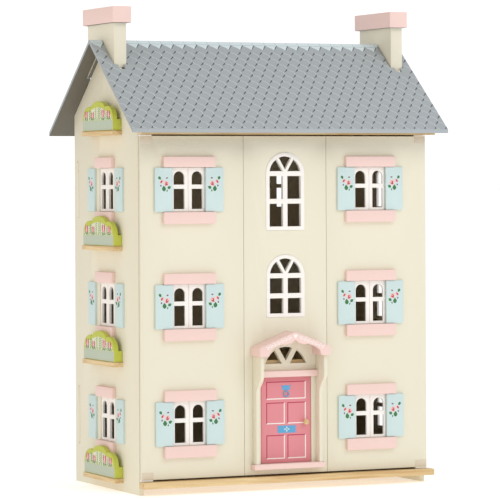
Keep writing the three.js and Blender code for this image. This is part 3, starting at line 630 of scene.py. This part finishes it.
class DOLLHOUSE_OT_trims(bpy.types.Operator):
    """Lintels and sills of all the windows"""
    bl_idname = "dollhouse.trims"
    bl_label = "Lintels and sills"

    def execute(self, context):
        pink = painted("pink", 0.5, 0.05)
        edge = sizes().trim_edge / MM
        for storey in STOREYS:
            for column in ("left", "right"):
                low, high = house_box(f"casement_front_{column}_{storey}_left")
                middle = high[0] + 0.25
                foot, head = low[2] - 0.5, high[2] + 0.5
                bars = (("sill", foot - SILL_HIGH, foot), ("lintel", head, head + LINTEL_HIGH))
                for kind, z0, z1 in bars:
                    bar = block((middle - FRONT_TRIM_HALF, -TRIM_OUT, z0),
                                (middle + FRONT_TRIM_HALF, 0.6, z1), edge)
                    add_piece(f"{kind}_front_{column}_{storey}", bar, [pink], f"leaf_{column}")
            for wall, face, out in (("left", 0.0, -1), ("right", WIDTH, 1)):
                near, far = sorted((face - out * 0.6, face + out * TRIM_OUT))
                for kind, z0, z1 in bars:
                    bar = block((near, MIDDLE - SIDE_TRIM_HALF, z0),
                                (far, MIDDLE + SIDE_TRIM_HALF, z1), edge)
                    add_piece(f"{kind}_{wall}_wall_{storey}", bar, [pink], "house")
        return {"FINISHED"}


class DOLLHOUSE_OT_flower_boxes(bpy.types.Operator):
    """Lobed flower boxes with their printed gardens"""
    bl_idname = "dollhouse.flower_boxes"
    bl_label = "Flower boxes"

    def execute(self, context):
        lime = painted("lime", 0.5, 0.06)
        inks = [painted(name) for name in ("sage", "garden", "tulip", "leaf", "rose", "lime", "sprig")]
        thick = sizes().print_lift / MM
        for level in ("ground", "first", "second", "attic"):
            node = f"flower_box_{level}"
            add_piece(f"box_{level}", carved(node), [lime], "house", [node])
            low, high = house_box(node)
            shape = bmesh.new()

            def place(u, v, h):
                return at(low[0] - h, high[1] - u, low[2] + v)

            def put(outline, index, lift=1.0):
                inlay(shape, outline, lambda u, v, h: place(u, v, h * (lift if h > 0 else 1)), thick, index)
            put([(1, 1), (155, 1), (155, 19.5), (1, 19.5)], 0)
            garden = [(5, 19.8), (151, 19.8), (149, 25), (143, 31), (133, 35.5), (121, 37.5)]
            garden += [(108, 41), (94, 44), (78, 45.5), (62, 44), (48, 41), (34, 37.5), (22, 35.5),
                       (12, 31), (7, 25)]
            put(garden, 1)
            for u, v, size in ((19, 31, 8.2), (52, 30, 7.2), (106, 33, 8.6), (134, 31, 7.8)):
                put(stroke([(u, 20), (u - 0.6, 24), (u, v - 3)], 1.3), 3, 1.6)
                put(leaf_outline(u - 5, 23.5, 1.7, 4.6, 38), 3, 1.8)
                put(leaf_outline(u + 5, 23.5, 1.7, 4.6, -38), 3, 1.8)
                put(leaf_outline(u - size * 0.45, v, size * 0.5, size, 14), 2, 2.2)
                put(leaf_outline(u + size * 0.45, v, size * 0.5, size, -14), 2, 2.4)
                put(leaf_outline(u, v - 0.5, size * 0.42, size * 0.9, 0), 4, 2.8)
            for u, top in ((36, 43), (40, 45), (68, 47), (82, 48), (90, 48), (121, 39), (148, 27)):
                put(stroke([(u, 20), (u + 0.5, (20 + top) / 2), (u, top)], 0.8), 6, 1.4)
                v = 24.0
                while v < top:
                    put(leaf_outline(u - 2.2, v, 1.1, 2.3, 60), 6 if v < top - 6 else 5, 1.7)
                    put(leaf_outline(u + 2.2, v + 1.6, 1.1, 2.3, -60), 6 if v < top - 6 else 5, 1.9)
                    v += 4.2
            for u in range(8, 150, 9):
                put(leaf_outline(u, 21.8, 1.9, 2.6, (u % 5) * 12 - 24), 6, 1.3)
            add_piece(f"garden_print_{level}", shape, inks, "house")
        return {"FINISHED"}


class DOLLHOUSE_OT_porch(bpy.types.Operator):
    """Canopy, pillars, lintel and doorstep"""
    bl_idname = "dollhouse.porch"
    bl_label = "Porch"

    def execute(self, context):
        pink, cream = painted("pink", 0.5, 0.05), painted("cream")
        low, high = house_box("porch_surround")
        middle = (low[0] + high[0]) / 2
        sill = low[2] + 10.3
        add_piece("canopy", carved("porch_canopy"), [pink], "leaf_centre", ["porch_canopy"])
        for side in (-1, 1):
            name = "left" if side < 0 else "right"
            planes = [(at(middle + side * PILLAR_INNER, 0, 0), (-side, 0, 0)),
                      (at(0, 0, sill), (0, 0, -1))]
            pillar = carved("porch_surround", planes, radius=0.7 * MM)
            add_piece(f"pillar_{name}", pillar, [cream], "leaf_centre",
                      ["porch_surround"] if side < 0 else ())
        step = block((low[0], -STEP_OUT, low[2]), (high[0], -0.3, sill), 1.0)
        add_piece("doorstep", step, [pink], "leaf_centre")
        head = house_box("front_door")[1][2] + 0.9
        lintel = block((middle - PILLAR_INNER, -PORCH_LINTEL_OUT, head),
                       (middle + PILLAR_INNER, -0.3, head + PORCH_LINTEL_HIGH), 1.0)
        add_piece("door_lintel", lintel, [pink], "leaf_centre")
        canopy_low, canopy_high = house_box("porch_canopy")
        front = canopy_low[1]
        half = (canopy_high[0] - canopy_low[0]) / 2
        shape = bmesh.new()
        thick = sizes().print_lift / MM

        def along(side, s, v):
            """A point on the canopy's front board: s out from its middle, v below its top edge."""
            return middle + side * s, canopy_high[2] - CANOPY_RISE * s / half - v

        def put(outline):
            inlay(shape, outline, lambda u, v, h: at(u, front - h, v), thick)

        for side in (-1, 1):
            for step_out in range(7):
                s = 11 + step_out * 7.6
                scroll = []
                for i in range(9):
                    a = math.radians(200 - i * 42)
                    radius = 3.3 - i * 0.3
                    scroll.append(along(side, s + radius * math.cos(a), 8.2 - radius * math.sin(a)))
                put(stroke(scroll, 1.3))
                put(oval(*along(side, s + 3.8, 3.4), 1.1, 1.1, count=8))
        put(heart_outline(*along(1, 0, 8.0), 4.4))
        add_piece("canopy_scrolls", shape, [painted("white", 0.5, 0.03)], "leaf_centre")
        return {"FINISHED"}


class DOLLHOUSE_OT_door(bpy.types.Operator):
    """Front door with its panel lines, letter plate, knocker and knob"""
    bl_idname = "dollhouse.door"
    bl_label = "Front door"

    def execute(self, context):
        door = painted("door", 0.46, 0.05)
        low = house_box("front_door")[0]
        add_piece("door_board", carved("front_door", radius=0.5 * MM), [door], "front_door",
                  ["front_door"])
        face = low[1]
        left, foot = low[0], low[2]
        thick = sizes().print_lift / MM
        shape = bmesh.new()

        def put(outline, index, lift=1.0):
            inlay(shape, outline, lambda u, v, h: at(left + u, face - h * (lift if h > 0 else 1), foot + v),
                  thick, index)
        panels = ((11.5, 95, 121, 155), (11.5, 50.5, 74, 115), (56, 95, 74, 115), (11.5, 50.5, 7.5, 53),
                  (56, 95, 7.5, 53))
        line = 1.9
        for u0, u1, v0, v1 in panels:
            put([(u0, v0), (u0 + line, v0 + line), (u0 + line, v1 - line), (u0, v1)], 0)
            put([(u0, v1), (u0 + line, v1 - line), (u1 - line, v1 - line), (u1, v1)], 0)
            put([(u1, v1), (u1 - line, v1 - line), (u1 - line, v0 + line), (u1, v0)], 1)
            put([(u1, v0), (u1 - line, v0 + line), (u0 + line, v0 + line), (u0, v0)], 1)
        put([(35.5, 56.5), (73.5, 56.5), (73.5, 70.5), (35.5, 70.5)], 2, 3.0)
        for u, v, lean in ((54.5, 66.5, 0), (54.5, 60.5, 180), (50.8, 63.5, 90), (58.2, 63.5, -90)):
            put(leaf_outline(u, v, 1.6, 2.6, lean), 3, 4.0)
        put([(42.5, 148), (48, 146.6), (53.5, 148), (59, 146.6), (64.5, 148), (61, 143), (62, 138.8),
             (53.5, 137.6), (45, 138.8), (46, 143)][::-1], 2, 4.0)
        add_piece("door_print", shape, [painted("door_dark"), painted("white"), painted("sky", 0.45),
                                        painted("blue")], "front_door")
        ring = bmesh.new()
        centre = at(left + 53.5, face - 0.9, foot + 131)
        count, sides = 28, 10
        loops = []
        for i in range(count):
            a = 2 * math.pi * i / count
            out = Vector((math.cos(a), 0, math.sin(a)))
            loops.append([ring.verts.new(centre + out * (5.2 + math.cos(b)) * MM
                                         + Vector((0, math.sin(b), 0)) * MM)
                          for b in (2 * math.pi * k / sides for k in range(sides))])
        for i in range(count):
            for k in range(sides):
                a, b = loops[i], loops[(i + 1) % count]
                ring.faces.new((a[k], a[(k + 1) % sides], b[(k + 1) % sides], b[k]))
        add_piece("knocker_ring", ring, [painted("sky")], "front_door")
        knob = bmesh.new()
        k_low, k_high = house_box("door_knob")
        size = (k_high[0] - k_low[0]) / 2
        deep = k_high[1] - k_low[1]
        turned(knob, [(0, 0), (size * 0.5, 0), (size * 0.42, deep * 0.2), (size * 0.5, deep * 0.32),
                      (size * 0.82, deep * 0.42), (size, deep * 0.6), (size * 0.93, deep * 0.78),
                      (size * 0.62, deep * 0.93), (size * 0.25, deep * 0.99), (0, deep)],
               at((k_low[0] + k_high[0]) / 2, k_high[1], (k_low[2] + k_high[2]) / 2), (0, -1, 0), 28)
        add_piece("door_knob_turned", knob, [bare_wood("y")], "front_door", ["door_knob"])
        return {"FINISHED"}


class DOLLHOUSE_OT_chimneys(bpy.types.Operator):
    """Chimney stacks and their caps"""
    bl_idname = "dollhouse.chimneys"
    bl_label = "Chimneys"

    def execute(self, context):
        for side in ("left", "right"):
            node = f"chimney_{side}"
            low, high = house_box(node)
            cap_foot = high[2] - CAP_HIGH
            stack = carved(node, [(at(0, 0, cap_foot), (0, 0, 1))])
            # The stack's faces that look down get a painted shade.
            shade_downward_faces(stack)
            add_piece(f"stack_{side}", stack, [painted("cream"), painted("roof_under", 0.6, 0.1)], "house",
                      [node])
            cap = block((low[0], low[1], cap_foot), high, sizes().trim_edge / MM)
            add_piece(f"cap_{side}", cap, [painted("pink", 0.5, 0.05)], "house")
        return {"FINISHED"}


def tile_print_tree():
    """Geometry nodes: a motif repeated over one slope, every other row moved by half a tile."""
    tree = bpy.data.node_groups.new("tile_print", "GeometryNodeTree")
    for label, kind, default in (
            ("Geometry", "Geometry", None), ("Motif", "Object", None), ("Finish", "Material", None),
            ("Columns", "Int", 30), ("Rows", "Int", 14), ("Tile Width", "Float", 0.0229),
            ("Tile Pitch", "Float", 0.01826), ("Lean", "Float", 0.6), ("First", "Vector", None),
            ("Ridge", "Vector", None)):
        socket(tree, label, "NodeSocket" + kind, default=default)
    socket(tree, "Geometry", "NodeSocketGeometry", out=True)
    given = add_node(tree, "NodeGroupInput").outputs

    def math_node(operation, first, second):
        return add_node(tree, "ShaderNodeMath", {0: first, 1: second}, operation=operation).outputs[0]

    grid = add_node(tree, "GeometryNodeMeshGrid", {
        "Size X": math_node("MULTIPLY", math_node("SUBTRACT", given["Columns"], 1), given["Tile Width"]),
        "Size Y": math_node("MULTIPLY", math_node("SUBTRACT", given["Rows"], 1), given["Tile Pitch"]),
        "Vertices X": given["Columns"], "Vertices Y": given["Rows"]})
    row = math_node("MODULO", add_node(tree, "GeometryNodeInputIndex").outputs[0], given["Rows"])
    odd = math_node("MODULO", row, 2)
    half = add_node(tree, "ShaderNodeCombineXYZ", {
        "X": math_node("MULTIPLY", math_node("MULTIPLY", odd, given["Tile Width"]), 0.5)})
    bond = add_node(tree, "GeometryNodeSetPosition", {
        "Geometry": grid.outputs["Mesh"], "Offset": half.outputs[0]})
    shift = add_node(tree, "GeometryNodeTransform", {
        "Geometry": bond.outputs[0], "Translation": given["First"]})
    motif = add_node(tree, "GeometryNodeObjectInfo", {"Object": given["Motif"]})
    repeat = add_node(tree, "GeometryNodeInstanceOnPoints", {
        "Points": shift.outputs[0], "Instance": motif.outputs["Geometry"]})
    angle = add_node(tree, "ShaderNodeCombineXYZ", {"X": given["Lean"]})
    lean = add_node(tree, "GeometryNodeTransform", {
        "Geometry": repeat.outputs[0], "Rotation": angle.outputs[0], "Translation": given["Ridge"]})
    real = add_node(tree, "GeometryNodeRealizeInstances", {0: lean.outputs[0]})
    coat = add_node(tree, "GeometryNodeSetMaterial", {
        "Geometry": real.outputs[0], "Material": given["Finish"]})
    add_node(tree, "NodeGroupOutput", {"Geometry": coat.outputs[0]})
    return tree


def repeated(name, tree, values):
    """Runs a geometry node tree and returns its result."""
    holder = bpy.data.objects.new(name + "_source", bpy.data.meshes.new(name + "_source"))
    bpy.context.scene.collection.objects.link(holder)
    modifier = holder.modifiers.new("repeat", "NODES")
    modifier.node_group = tree
    names = {item.name: item.identifier for item in tree.interface.items_tree if item.in_out == "INPUT"}
    for key, value in values.items():
        modifier[names[key]] = value
    bpy.context.view_layer.update()
    ready = holder.evaluated_get(bpy.context.evaluated_depsgraph_get())
    mesh = bpy.data.meshes.new_from_object(ready)
    holder.modifiers.remove(modifier)
    bpy.data.objects.remove(holder)
    if not mesh.vertices:
        raise RuntimeError(name + " came out empty")
    shape = bmesh.new()
    shape.from_mesh(mesh)
    bpy.data.meshes.remove(mesh)
    return shape


def trim_print(shape, ridge, holes, half, last):
    """Takes away prints that meet a hole in the slope, and cuts the rest off at the verges and the eave."""
    left = set(shape.verts)
    while left:
        island, reach = set(), [left.pop()]
        while reach:
            vert = reach.pop()
            island.add(vert)
            near = {e.other_vert(vert) for e in vert.link_edges} & left
            left -= near
            reach += near
        across = [(v.co.x - ridge.x) / MM for v in island]
        down = [abs(v.co.y - ridge.y) / MM / math.cos(SLOPE) for v in island]
        if any(min(across) < high and max(across) > low and min(down) < foot
               for low, high, foot in holes):
            bmesh.ops.delete(shape, geom=list(island), context="VERTS")
    side = 1 if sum(v.co.y for v in shape.verts) / len(shape.verts) > ridge.y else -1
    for point, normal in ((ridge + Vector((half * MM, 0, 0)), (1, 0, 0)),
                          (ridge - Vector((half * MM, 0, 0)), (-1, 0, 0)),
                          (ridge + Vector((0, side * last * math.cos(SLOPE) * MM, 0)), (0, side, 0))):
        slice_off(shape, point, normal, 1e-7)
    bmesh.ops.recalc_face_normals(shape, faces=shape.faces[:])


class DOLLHOUSE_OT_roof(bpy.types.Operator):
    """Roof slopes with their printed tiles and the scalloped ridge band"""
    bl_idname = "dollhouse.roof"
    bl_label = "Roof"

    def execute(self, context):
        values = sizes()
        slate = painted("roof", 0.5, 0.08)
        tree = tile_print_tree()
        thick = values.print_lift
        low, high = house_box("roof_front")
        # Painted shade for the faces of the slopes that look down.
        shade_finish = painted("roof_under", 0.6, 0.1)
        long = high[0] - low[0]
        across = low[0] + long / 2
        end = long / 2 - VERGE_BARE
        pitch, scallop = values.tile_pitch / MM, values.ridge_wide / MM
        arc = [(0.4, 0.4), (1.9, 1.4), (4.7, 3.7), (8.9, 6.0), (11.6, 8.8), (12.6, 12.4), (11.8, 17.4)]
        tick = [(0.9, -1.0), (1.4, 1.0), (0.0, 3.7), (-3.6, 7.3), (-8.0, 9.5), (-5.2, 6.0), (-2.6, 3.0),
                (-1.1, 0.6)]
        stacks = []
        for node in ("chimney_left", "chimney_right"):
            near, far = house_box(node)
            stacks.append((near[0] + far[0]) / 2 - across)
        for node, body, down, notch in (("roof_front", "roof_front", -1, NOTCH_FRONT),
                                        ("roof_rear", "house", 1, NOTCH_REAR)):
            name = "front" if down < 0 else "rear"
            shape = carved(node)
            shade_downward_faces(shape)
            add_piece(f"roof_slope_{name}", shape, [slate, shade_finish], body, [node])
            ridge = at(across, MIDDLE, RIDGE)
            holes = [(stack - NOTCH_HALF, stack + NOTCH_HALF, notch) for stack in stacks]
            holes += [(stack - SLOT_HALF, stack + SLOT_HALF, notch + SLOT_LONG) for stack in stacks]
            for kind, path, finish in (
                    ("outlines", stroke(arc, values.tile_line / MM), painted("roof_line", 0.5)),
                    ("shadows", tick, painted("roof_tick", 0.5))):
                motif = bmesh.new()
                inlay(motif, path, lambda u, v, h: Vector((u, down * v, h)) * MM, thick / MM)
                mesh = bpy.data.meshes.new("tile_motif")
                motif.to_mesh(mesh)
                motif.free()
                source = bpy.data.objects.new("tile_motif", mesh)
                bpy.context.scene.collection.objects.link(source)
                first = (-2.8 * MM, down * (FIRST_ROW + (values.tile_rows - 1) * pitch / 2) * MM, 0.0)
                shape = repeated(f"tile_{kind}_{name}", tree, {
                    "Motif": source, "Finish": finish, "Columns": values.tile_columns,
                    "Rows": values.tile_rows, "Tile Width": values.tile_wide,
                    "Tile Pitch": values.tile_pitch, "Lean": -SLOPE * down,
                    "First": first, "Ridge": ridge})
                bpy.data.objects.remove(source)
                trim_print(shape, ridge, holes, end, LAST_PRINT)
                add_piece(f"tile_{kind}_{name}", shape, [finish], body)
            band = bmesh.new()

            def place(u, v, h):
                flat = Vector((u * MM, down * v * MM, h * MM))
                return ridge + Euler((-SLOPE * down, 0, 0)).to_matrix() @ flat
            spans = ((-end, stacks[0] - STACK_HALF), (stacks[0] + STACK_HALF, stacks[1] - STACK_HALF),
                     (stacks[1] + STACK_HALF, end))
            for low_u, high_u in spans:
                inlay(band, [(high_u, 0.9), (low_u, 0.9), (low_u, 10.9), (high_u, 10.9)], place, 0.08)
                inlay(band, [(high_u, 10.8), (low_u, 10.8), (low_u, 11.6), (high_u, 11.6)], place, 0.1, 1)
            bowl = [(0.5, 11.6), (1.9, 12.8), (5.0, 16.0), (9.5, 19.4), (12.5, 23.0), (14.2, 26.0)]
            for i in range(27):
                u = i * scallop - 305.8 - scallop
                edge = [(u + scallop - 0.5, 11.6), (u + scallop - 3.4, 16.4), (u + 18.2, 21.8)]
                outline = [(u + x, y) for x, y in bowl] + edge[::-1]
                inside = any(a + 0.2 < min(x for x, y in outline)
                             and max(x for x, y in outline) < b - 0.2 for a, b in spans)
                seam = u + scallop
                if inside:
                    inlay(band, outline, place, 0.06)
                    inlay(band, [(seam + 0.6, 10.6), (seam + 0.4, 13.6), (seam - 3.0, 18.2),
                                 (u + 18.0, 23.6), (u + 14.4, 27.0), (u + 17.4, 22.0),
                                 (seam - 4.2, 16.6), (seam - 0.9, 12.6)], place, 0.1, 2)
                if inside or -end + 3 < seam < spans[0][1] or spans[2][0] < seam < end - 3:
                    inlay(band, stroke([(seam - 1.4, 1.2), (seam - 0.6, 6), (seam, 10.8)], 0.7),
                          place, 0.1, 1)
            inks = [painted(ink) for ink in ("ridge", "ridge_line", "roof_tick")]
            add_piece(f"ridge_band_{name}", band, inks, body)
        return {"FINISHED"}


class DOLLHOUSE_OT_stage(bpy.types.Operator):
    """Pale floor, soft lights and the camera"""
    bl_idname = "dollhouse.stage"
    bl_label = "Stage"

    def execute(self, context):
        scene = context.scene
        floor = bpy.data.meshes.new("floor")
        reach = 400.0
        corners = [(-reach, -reach, 0), (reach, -reach, 0), (reach, reach, 0), (-reach, reach, 0)]
        floor.from_pydata(corners, [], [(0, 1, 2, 3)])
        surface = bpy.data.materials.new("pale_floor")
        surface.use_nodes = True
        shader = surface.node_tree.nodes["Principled BSDF"]
        shader.inputs["Base Color"].default_value = (0.97, 0.97, 0.97, 1)
        shader.inputs["Roughness"].default_value = 0.9
        shader.inputs["Emission Color"].default_value = (1, 1, 1, 1)
        shader.inputs["Emission Strength"].default_value = 0.4
        floor.materials.append(surface)
        ground = bpy.data.objects.new("floor", floor)
        scene.collection.objects.link(ground)
        world = bpy.data.worlds.new("studio")
        world.use_nodes = True
        add, link = world.node_tree.nodes.new, world.node_tree.links.new
        soft = world.node_tree.nodes["Background"]
        soft.inputs["Color"].default_value = (1, 1, 1, 1)
        soft.inputs["Strength"].default_value = 0.66
        backdrop = add("ShaderNodeBackground")
        backdrop.inputs["Color"].default_value = (1, 1, 1, 1)
        backdrop.inputs["Strength"].default_value = 1.1
        seen, either = add("ShaderNodeLightPath"), add("ShaderNodeMixShader")
        link(seen.outputs["Is Camera Ray"], either.inputs[0])
        link(soft.outputs[0], either.inputs[1])
        link(backdrop.outputs[0], either.inputs[2])
        link(either.outputs[0], world.node_tree.nodes["World Output"].inputs["Surface"])
        scene.world = world
        target = at(WIDTH / 2, DEPTH / 2, 430)
        for name, spot, power, size, tint in (("key", (1.3, -2.9, 3.0), 36, 1.8, (1.0, 0.98, 0.95)),
                                              ("fill", (-3.2, -0.8, 1.3), 9, 2.0, (1.0, 0.62, 0.22))):
            lamp = bpy.data.lights.new(name, "AREA")
            lamp.energy = power
            lamp.size = size
            lamp.color = tint
            light = bpy.data.objects.new(name, lamp)
            light.location = Vector(spot)
            light.rotation_euler = (target - light.location).to_track_quat("-Z", "Y").to_euler()
            scene.collection.objects.link(light)
        lens = bpy.data.cameras.new("camera")
        lens.lens = 216.4
        lens.sensor_width = 36.0
        lens.shift_y = -0.137
        lens.clip_end = 900.0
        camera = bpy.data.objects.new("camera", lens)
        yaw, roll = math.radians(24.65), math.radians(-0.283)
        camera.location = at(-2156.3, -5192.2, 587.7)
        level = Matrix.Rotation(-yaw, 3, "Z") @ Matrix.Rotation(math.pi / 2, 3, "X")
        camera.rotation_euler = (level @ Matrix.Rotation(roll, 3, "Z")).to_euler()
        scene.collection.objects.link(camera)
        scene.camera = camera
        scene.view_settings.view_transform = "Standard"
        return {"FINISHED"}


class DOLLHOUSE_PT_panel(bpy.types.Panel):
    """Lists the sizes, the colours and the pieces"""
    bl_idname = "DOLLHOUSE_PT_panel"
    bl_label = "Dolls' house"
    bl_space_type = "VIEW_3D"
    bl_region_type = "UI"
    bl_category = "Dolls' house"

    def draw(self, context):
        for group in (context.scene.dollhouse_sizes, context.scene.dollhouse_colours):
            for name in group.bl_rna.properties.keys():
                if name not in ("rna_type", "name"):
                    self.layout.prop(group, name)
        for operator in OPERATORS:
            self.layout.operator(operator.bl_idname)


OPERATORS = (DOLLHOUSE_OT_stage, DOLLHOUSE_OT_walls, DOLLHOUSE_OT_boards, DOLLHOUSE_OT_leaves,
             DOLLHOUSE_OT_windows, DOLLHOUSE_OT_shutters, DOLLHOUSE_OT_trims,
             DOLLHOUSE_OT_flower_boxes, DOLLHOUSE_OT_porch, DOLLHOUSE_OT_door,
             DOLLHOUSE_OT_chimneys, DOLLHOUSE_OT_roof)
CLASSES = (DollhouseSizes, DollhouseColours, *OPERATORS, DOLLHOUSE_PT_panel)


def register():
    for item in CLASSES:
        bpy.utils.register_class(item)
    bpy.types.Scene.dollhouse_sizes = PointerProperty(type=DollhouseSizes)
    bpy.types.Scene.dollhouse_colours = PointerProperty(type=DollhouseColours)


def unregister():
    del bpy.types.Scene.dollhouse_colours
    del bpy.types.Scene.dollhouse_sizes
    for item in reversed(CLASSES):
        bpy.utils.unregister_class(item)


def main():
    register()
    for operator in OPERATORS:
        family, name = operator.bl_idname.split(".")
        getattr(getattr(bpy.ops, family), name)()


if __name__ == "__main__":
    main()
